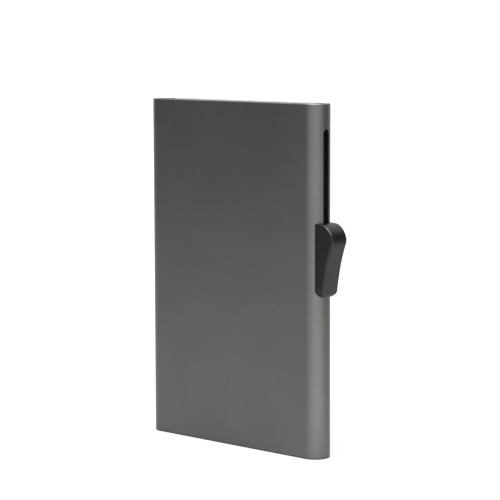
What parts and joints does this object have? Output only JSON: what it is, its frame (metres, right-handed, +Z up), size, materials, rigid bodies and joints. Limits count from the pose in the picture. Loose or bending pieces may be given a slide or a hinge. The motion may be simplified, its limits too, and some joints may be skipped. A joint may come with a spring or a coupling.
{
  "type": "slider card case",
  "caption": "Slim upright aluminium card case with round sides and a side thumb slider that lifts a stepped card ejector.",
  "frame": {"origin": "middle of the base that the case stands on", "axes": "+Z up along the case towards the card mouth, +X across the width towards the slider, +Y through the thickness towards the back, so the front faces -Y"},
  "size_m": [0.0731, 0.0088, 0.102],
  "materials": {
    "anodised_aluminium": "fine bead-blasted, anodised dark warm grey",
    "black_moulding": "fine matt moulded black",
    "grey_moulding": "matt moulded dark grey",
    "acetal": "natural off-white, slightly waxy",
    "felt": "short dense black felt",
    "spring_steel": "bright rolled",
    "rubber": "matt black"
  },
  "bodies": {
    "case": {"case_sleeve": "anodised_aluminium", "bottom_cap": "black_moulding", "left_guide_rail": "grey_moulding", "slider_track": "grey_moulding", "left_mouth_insert": "grey_moulding", "right_mouth_insert": "grey_moulding", "front_felt_strip": "felt", "rear_felt_strip": "felt", "edge_spring_lower": "spring_steel", "edge_spring_upper": "spring_steel", "track_bumper_lower": "rubber", "track_bumper_upper": "rubber"},
    "carriage": {"slider_knob": "black_moulding", "runner_bar": "acetal", "step_ejector": "acetal", "detent_spring": "spring_steel", "ejector_dowel_lower": "spring_steel", "ejector_dowel_upper": "spring_steel", "knob_pin_lower": "spring_steel", "knob_pin_upper": "spring_steel"}
  },
  "joints": [
    {"name": "slider_travel", "type": "slide", "parent": "case", "child": "carriage", "axis": [0, 0, 1], "range_m": [0, 0.028]}
  ]
}
